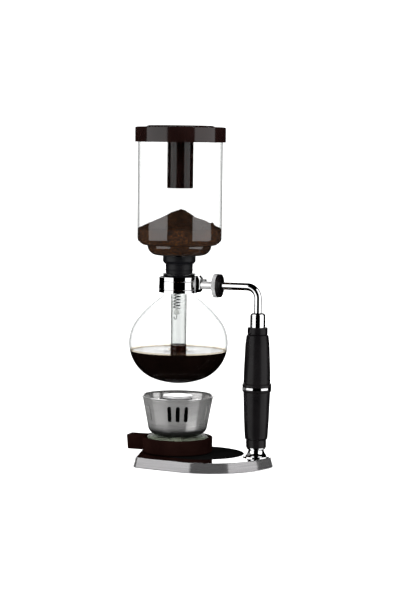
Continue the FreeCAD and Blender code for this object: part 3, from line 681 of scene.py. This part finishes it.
def make_coffee(coffee, body, film, stem_film):
    """The flask's coffee, with its surface drawn up where it meets the glass."""
    level = high("brewed_coffee").z
    stem_end = low("upper_bowl").z
    clear = 0.12
    wall = [p for p in flask_line(SEEN_INSET) if p[1] < level]
    edge = wall[-1][0] + 0.1
    meniscus = [(edge, level + 0.15), (edge - 0.5, level + 0.12), (edge - 1.6, level)]
    stem = [(STEM_R + 2.2, level), (STEM_R + 0.9, level + 0.15), (STEM_R + clear, level + 0.9)]
    slot = [(STEM_R + clear, stem_end - 0.3), (STEM_BORE - clear, stem_end - 0.3),
            (STEM_BORE - clear, level)]
    outline = wall + meniscus + stem + slot + [(0.0, level)]
    piece = lathe("flask_coffee", outline, coffee, 192, sharp=60)
    piece.data.materials.append(body)
    assign(piece, 1, lambda r, z: z < level - 0.01)
    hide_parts("brewed_coffee")
    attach(piece, "flask")

    foot = level + 0.1
    around = [p for p in flask_line(WALL * 0.6) if foot - 1.5 < p[1] < foot + FILM_HEIGHT + 1.5]
    skin = [(interpolate(around, foot + FILM_HEIGHT * t), foot + FILM_HEIGHT * t)
            for t in (0.0, 0.25, 0.5, 0.75, 1.0)]
    ring = lathe("coffee_film", skin, film, 192, closed=False, sharp=60)
    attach(ring, "flask")

    bore = STEM_R - SEEN_INSET
    column = [(0, level + 0.1), (bore, level + 0.1), (bore, STEM_COFFEE_TOP + 0.5),
              (bore - 0.6, STEM_COFFEE_TOP + 0.1), (bore - 1.8, STEM_COFFEE_TOP),
              (0, STEM_COFFEE_TOP)]
    drawn = lathe("stem_coffee", column, stem_film, 96, sharp=60)
    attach(drawn, "upper")


def make_fuel(material):
    piece_low = low("lamp_fuel")
    piece_high = high("lamp_fuel")
    radius = piece_high.x
    outline = rounded([
        (3.6, piece_low.z, 0), (radius, piece_low.z, 2.2), (radius, piece_high.z + 0.5, 0),
        (radius - 0.8, piece_high.z, 0), (4.6, piece_high.z, 0), (3.6, piece_high.z + 0.5, 0),
    ])
    piece = lathe("lamp_spirit", outline, material, 128, sharp=60)
    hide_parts("lamp_fuel")
    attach(piece, "burner")


HEAP = [(0.0, 251.5), (3.0, 251.0), (6.0, 249.9), (9.5, 248.0), (13.0, 245.9), (17.0, 243.6),
        (23.0, 241.1), (29.0, 238.5), (34.0, 236.0), (42.0, 232.6)]
LUMP = (30.8, 11.2)       # a clod that lies on the heap, by its x and y
GRAINS = 6500


def heap_height(x, y):
    """Top of the heap in millimetres: the cone it was poured as, with lumps."""
    r = math.hypot(x, y)
    z = HEAP[-1][1]
    for (r0, z0), (r1, z1) in zip(HEAP, HEAP[1:]):
        if r <= r1:
            z = z0 + (z1 - z0) * (r - r0) / (r1 - r0)
            break
    clod = math.exp(-((x - LUMP[0]) ** 2 + (y - LUMP[1]) ** 2) / 4.0) * 2.4
    slump = noise.fractal(Vector((x, y, 0.0)) * 0.10, 0.9, 2.0, 4) * 0.9
    crumb = noise.noise(Vector((x, y, 5.0)) * 0.75) * 0.25
    return z + clod + slump + crumb


def heap_side():
    """Outline of the heap against the glass, from under the filter up to its edge."""
    skin = 0.5
    edge = high("upper_bowl").x
    foot = arc((DISH_R - DISH_ROUND, DISH_LOW + DISH_ROUND), DISH_ROUND - skin, -90.0, 0.0, 10)
    corner = arc((edge - BOWL_ROUND, STEP_Z + BOWL_ROUND), BOWL_ROUND - skin, -90.0, 0.0, 10)
    return [(9.0, DISH_LOW + skin)] + foot + corner + [(edge - skin, 231.0)]


def make_grounds(material):
    """A heap of coffee grounds with loose grains on top. They reach under the filter's rim and
    to the foot of the dish, where the wet ones settle."""
    segments = 220
    edge = heap_side()[-1][0]
    points = []
    rings = []

    def add_ring(radius_at, height_at):
        ring = []
        for k in range(segments):
            angle = 2 * math.pi * k / segments
            r = radius_at(angle)
            x = r * math.cos(angle)
            y = r * math.sin(angle)
            ring.append(len(points))
            points.append((x * MM, y * MM, height_at(x, y) * MM))
        rings.append(ring)

    for r, z in heap_side():
        add_ring(lambda angle: r, lambda x, y: z)
    loops = 64
    for i in range(loops):
        r = edge * (1 - i / loops)
        add_ring(lambda angle: r, heap_height)
    faces = []
    for first, second in zip(rings, rings[1:]):
        for k in range(segments):
            after = (k + 1) % segments
            faces.append((first[k], first[after], second[after], second[k]))
    for ring, height in ((rings[0], heap_side()[0][1]), (rings[-1], heap_height(0, 0))):
        points.append((0, 0, height * MM))
        centre = len(points) - 1
        for k in range(segments):
            pair = (ring[(k + 1) % segments], ring[k])
            faces.append((*(pair if ring is rings[0] else pair[::-1]), centre))

    shape = bmesh.new()
    bmesh.ops.create_icosphere(shape, subdivisions=1, radius=1.0)
    grain_points = [v.co.copy() for v in shape.verts]
    grain_faces = [[v.index for v in f.verts] for f in shape.faces]
    shape.free()
    chance = random.Random(7)
    for _ in range(GRAINS):
        angle = chance.uniform(0, 2 * math.pi)
        r = (edge - 1.2) * math.sqrt(chance.random())
        x = r * math.cos(angle)
        y = r * math.sin(angle)
        size = chance.uniform(0.2, 0.6)
        spin = Matrix.Rotation(chance.uniform(0, 6.3), 3,
                               Vector((chance.random(), 1, chance.random())))
        squash = Vector((size, size * chance.uniform(0.6, 1.0), size * chance.uniform(0.5, 0.9)))
        spot = Vector((x, y, heap_height(x, y) + size * 0.25))
        start = len(points)
        for co in grain_points:
            points.append(tuple((spot + spin @ (co * squash)) * MM))
        faces += [[start + i for i in face] for face in grain_faces]
    mesh = bpy.data.meshes.new("coffee_heap")
    mesh.from_pydata(points, [], faces)
    mesh.validate()
    piece = add_object("coffee_heap", mesh, material, 50)
    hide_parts("coffee_grounds")
    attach(piece, "upper")


# ---- lid, seal and clamp ----

LID_TUBE_R = 13.1
LID_TUBE_DEPTH = 57.1     # from the tube's open end up to the lid's ceiling
LID_STEP_R = 35.2         # foot of the lid's raised middle
LID_RAISED_R = 33.4
HOOK_WIRE_R = 0.42
BEAD_R = 2.9


def make_lid(material):
    """Cap with a shallow dome, and under it the tube that takes the stem when the lid is used
    as a stand."""
    lowest, highest = corners("lid_cap")
    radius = highest.x
    step = highest.z - 1.8
    skirt = radius - 2.1
    ceiling = low("lid_socket").z + LID_TUBE_DEPTH
    cap = lathe("lid_cap_shell", rounded([
        (0, ceiling, 0), (skirt, ceiling, 1.2), (skirt, lowest.z, 0.3), (radius, lowest.z, 0.4),
        (radius, step, 1.2), (LID_STEP_R, step, 0.5), (LID_RAISED_R, highest.z - 0.4, 1.2),
        (0, highest.z, 0),
    ]), material, 192)
    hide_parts("lid_cap")
    end = low("lid_socket").z
    bore = LID_TUBE_R - 1.9
    tube = lathe("lid_tube", rounded([
        (LID_TUBE_R, end, 0.5), (LID_TUBE_R, ceiling - 0.4, 1.5),
        (LID_TUBE_R + 2.0, ceiling - 0.1, 0), (bore, ceiling - 0.1, 0), (bore, end, 0.4),
    ]), material, 128)
    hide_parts("lid_socket")
    for piece in (cap, tube):
        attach(piece, "lid")


def make_seal(material):
    """Rubber stopper with grooves where it sits in the neck."""
    top = high("bowl_gasket").z
    collar = high("bowl_gasket").x
    bottom = low("bowl_gasket").z
    lip = high("flask_neck").z
    stem = STEM_R + 0.02
    outline = [
        (stem, top - 3.0, 0), (stem + 1.4, top - 0.1, 0.8), (collar, top, 0.7),
        (collar, top - 5.6, 0.8), (collar - 1.9, top - 8.0, 0.6), (13.6, top - 8.2, 0.3),
        (13.4, lip + 4.4, 0.2), (13.9, lip + 3.6, 0.4), (13.4, lip + 2.8, 0.2), (13.2, lip, 0.3),
        # painted refraction: these corners carry the rubber out inside the glass lip and neck wall,
        # standing in for the black stopper seen magnified through the thick glass
        (LIP_R - 0.7, lip - 0.5, 0.5), (NECK_R - 0.7, lip - 4.6, 0.8),
        (NECK_R - 1.7, lip - 6.0, 0.5), (12.4, bottom + 1.2, 0.5), (11.4, bottom, 0.4),
        (stem, bottom, 0),
    ]
    piece = lathe("stopper", rounded(outline, 5), material, 128, sharp=40)
    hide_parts("bowl_gasket")
    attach(piece, "upper")


def tube_along(name, path, radius, material, sides=12):
    """Round wire through a list of points in millimetres, with closed ends."""
    curve = bpy.data.curves.new(name, "CURVE")
    curve.dimensions = "3D"
    curve.bevel_depth = radius * MM
    curve.bevel_resolution = max(1, sides // 4 - 1)
    curve.use_fill_caps = True
    spline = curve.splines.new("POLY")
    spline.points.add(len(path) - 1)
    for point, place in zip(spline.points, path):
        point.co = (*(Vector(place) * MM), 1.0)
    holder = bpy.data.objects.new(name, curve)
    bpy.context.scene.collection.objects.link(holder)
    depsgraph = bpy.context.evaluated_depsgraph_get()
    mesh = bpy.data.meshes.new_from_object(holder.evaluated_get(depsgraph))
    bpy.data.objects.remove(holder)
    mesh.materials.clear()
    return add_object(name, mesh, material, 50)


def make_bracket(plating, steel):
    """The strap's ends: folded out, pinched together by a screw and a hooked wire."""
    centre_z = (low("neck_bracket").z + high("neck_bracket").z) / 2
    left = low("neck_bracket").x
    right = high("neck_bracket").x
    width = (high("neck_bracket").y - low("neck_bracket").y) / 2
    bm = bmesh.new()
    profile = [(-8.3, 3.2), (-7.6, 4.2), (-4.0, 6.2), (4.4, 6.2), (7.0, 4.4), (8.4, 3.4)]
    turns = 24
    grid = []
    for dz, reach in profile:
        row = []
        for k in range(turns + 1):
            angle = -math.pi / 2 + math.pi * k / turns
            x = left + (reach / 6.2) * (right - left) * math.cos(angle) ** 0.8
            row.append(bm.verts.new((x * MM, width * math.sin(angle) * MM, (centre_z + dz) * MM)))
        grid.append(row)
    for first, second in zip(grid, grid[1:]):
        for k in range(turns):
            bm.faces.new((first[k], first[k + 1], second[k + 1], second[k]))
    bm.faces.new(list(reversed(grid[0])))
    bm.faces.new(grid[-1])
    for first, second in zip(grid, grid[1:]):
        bm.faces.new((first[0], second[0], second[-1], first[-1]))
    bmesh.ops.recalc_face_normals(bm, faces=bm.faces)
    mesh = bpy.data.meshes.new("strap_lug")
    bm.to_mesh(mesh)
    bm.free()
    lug = add_object("strap_lug", mesh, plating, 35)
    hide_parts("neck_bracket")
    screw_x = (low("set_screw").x + high("set_screw").x) / 2
    screw_top = high("set_screw").z
    boss_top = screw_top - 2.2
    head = lathe("pinch_screw", rounded([
        (0, boss_top - 1.0, 0), (1.1, boss_top - 1.0, 0), (1.1, boss_top, 0.1),
        (1.9, boss_top, 0.3), (1.9, screw_top - 0.2, 0.6), (0.7, screw_top, 0.2),
        (0.6, screw_top - 0.5, 0), (0, screw_top - 0.5, 0),
    ], 4), steel, 40, axis=(screw_x, 0.0))
    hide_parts("set_screw")
    wire = []
    for k in range(60):
        t = k / 59
        angle = math.radians(200 - 400 * t)
        wire.append((screw_x - 3.4 + 2.0 * math.cos(angle) - 2.2 * t,
                     -1.6 + 3.2 * t, boss_top + 2.6 + 1.7 * math.sin(angle)))
    hook = tube_along("strap_wire", wire, HOOK_WIRE_R, steel)
    for piece, name in ((lug, "chrome"), (head, "plain_steel"), (hook, "plain_steel")):
        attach(piece, "flask")


def make_filter_wire(wire, bead_glaze):
    """Close-wound spring in the stem, with its glass bead and hook on the free end."""
    lowest, highest = corners("filter_spring")
    top = highest.z
    end = lowest.z
    radius = 3.0
    lean = 2.3
    turns = 17
    path = []
    for k in range(turns * 20 + 1):
        angle = 2 * math.pi * k / 20
        t = k / (turns * 20)
        z = top - 0.5 + (end + 1.0 - top) * t
        path.append((-lean * t + radius * math.cos(angle), radius * math.sin(angle), z))
    spring = tube_along("stem_spring", path, 0.55, wire, 8)
    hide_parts("filter_spring")
    bead_low, bead_high = corners("filter_bead")
    centre = (bead_low + bead_high) / 2
    bead = lathe("spring_bead", arc((0, centre.z), BEAD_R, -90, 90, 24), bead_glaze, 48,
                 axis=(centre.x, centre.y), closed=False)
    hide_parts("filter_bead")
    hook_low, hook_high = corners("filter_hook")
    x = hook_high.x - 0.45
    bend = (hook_high.x - hook_low.x) / 2 - 0.45
    foot = hook_low.z + bend + 0.5
    route = [(x, 0, hook_high.z), (x, 0, foot)]
    for k in range(1, 13):
        angle = k * math.pi / 12
        route.append((x - bend + bend * math.cos(angle), 0, foot - bend * math.sin(angle)))
    route.append((x - 2 * bend, 0, foot + 1.4))
    hook = tube_along("spring_hook", route, HOOK_WIRE_R, wire, 8)
    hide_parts("filter_hook")
    for piece in (spring, bead, hook):
        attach(piece, "upper")


# ---- finishes of the CAD nodes ----

def make_knob_face(black):
    """Black plate that closes the knurled rim of the clamp's knob on its outer side."""
    lowest, highest = corners("knob_rim")
    centre_z = (lowest.z + highest.z) / 2
    radius = (highest.z - lowest.z) / 2 - 0.3
    inner = high("knob_core").z - centre_z
    outside = high("knob_core").x
    face = lathe("knob_black_face", rounded([
        (inner, highest.x, 0), (radius, highest.x, 0), (radius, outside, 0.3), (inner, outside, 0),
    ]), black, 144)
    on_the_rod = Matrix.Translation((0, 0, centre_z * MM)) @ Matrix.Rotation(math.pi / 2, 4, "Y")
    face.data.transform(on_the_rod)
    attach(face, "knob")


def finish_nodes(finishes):
    for material, names in finishes:
        for name in names:
            slots = NODES[name].material_slots
            if len(slots) == 0:
                NODES[name].data.materials.append(material)
            for slot in slots:
                slot.material = material


make_camera()
make_studio()

flask_glass = clear_glass("flask_glass", (0.99, 0.993, 0.991), (0.22, 0.23, 0.23), 0.59)
bowl_glass = clear_glass("bowl_glass", (0.99, 0.993, 0.991), (0.04, 0.045, 0.045), 0.62, 0.10)
inner_glass = clear_glass("inner_glass", (0.995, 0.997, 0.996), (0.80, 0.81, 0.81), 0.85, 0.02)
stem_glass = clear_glass("stem_glass", (0.84, 0.85, 0.845), (0.0, 0.0, 0.0), 0.22)
green_glass = thin_layer("lamp_font_glass", (0.21, 0.23, 0.18), (0.86, 0.90, 0.86), 0.76)
plating = chrome()
steel = turned_steel()
wire = dark_wire()
black = moulded("black_phenolic", (0.003, 0.0025, 0.003), (0.006, 0.005, 0.0055), 0.26, 0.04, 0.2)
brown = moulded("brown_plastic", (0.0045, 0.0016, 0.0014), (0.0085, 0.0035, 0.003), 0.07, 0.05)
dull_brown = moulded("cradle_plastic", (0.005, 0.0018, 0.0016), (0.009, 0.0036, 0.003),
                     0.2, 0.05, 0.0)
satin_black = moulded("satin_black", (0.002, 0.002, 0.002), (0.004, 0.004, 0.004), 0.5, 0.1, 0.0)
seal = rubber()
film = thin_layer("coffee_film", (0.15, 0.105, 0.07), (0.84, 0.77, 0.66), 0.86)
stem_film = thin_layer("stem_coffee", (0.030, 0.003, 0.001), (0.42, 0.09, 0.03), 0.5)
spun = spun_steel()

make_flask(flask_glass, inner_glass)
make_upper_bowl(bowl_glass, inner_glass, stem_glass)
make_lamp_glass(green_glass)
coffee_top = black_coffee("coffee_surface", (0.006, 0.002, 0.001), (0.010, 0.004, 0.002))
coffee_body = black_coffee("coffee_body", (0.0018, 0.0010, 0.0008), (0.0030, 0.0016, 0.0012),
                           Specular_IOR_Level=0.0)
make_coffee(coffee_top, coffee_body, film, stem_film)
make_fuel(spirit())
make_grounds(ground_coffee())
make_lid(brown)
make_seal(seal)
make_bracket(plating, steel)
satin = satin_aluminium()
make_filter_wire(wire, porcelain())
make_knob_face(black)

finish_nodes([
    (base_metal(), ["base_shell"]),
    # painted reflection: the snuffer's skirt is the same bright metal as its top and is given black
    # for the dark it reflects
    (satin_black, ["base_inlay", "snuffer_skirt"]),
    (seal, ["base_pad", "neck_liner"]),
    (plating, ["post_foot", "grip_ring", "ferrule", "arm_rod", "neck_band"]),
    (knurled_metal(), ["knob_rim"]),
    (steel, ["base_ballast", "base_washer", "base_nut", "tie_rod", "retaining_clip", "knob_bush",
             "filter_spindle", "filter_nut"]),
    (black, ["grip_lower", "grip_upper", "knob_core"]),
    (dull_brown, ["lamp_cradle"]),
    (spun, ["windshield", "wick_collar", "filter_bottom_plate", "filter_top_plate"]),
    (satin, ["snuffer_top", "clamp_boss"]),
    (cotton("filter_cotton", 900.0), ["filter_cloth"]),
    (cotton("wick_cotton", 700.0), ["wick"]),
])
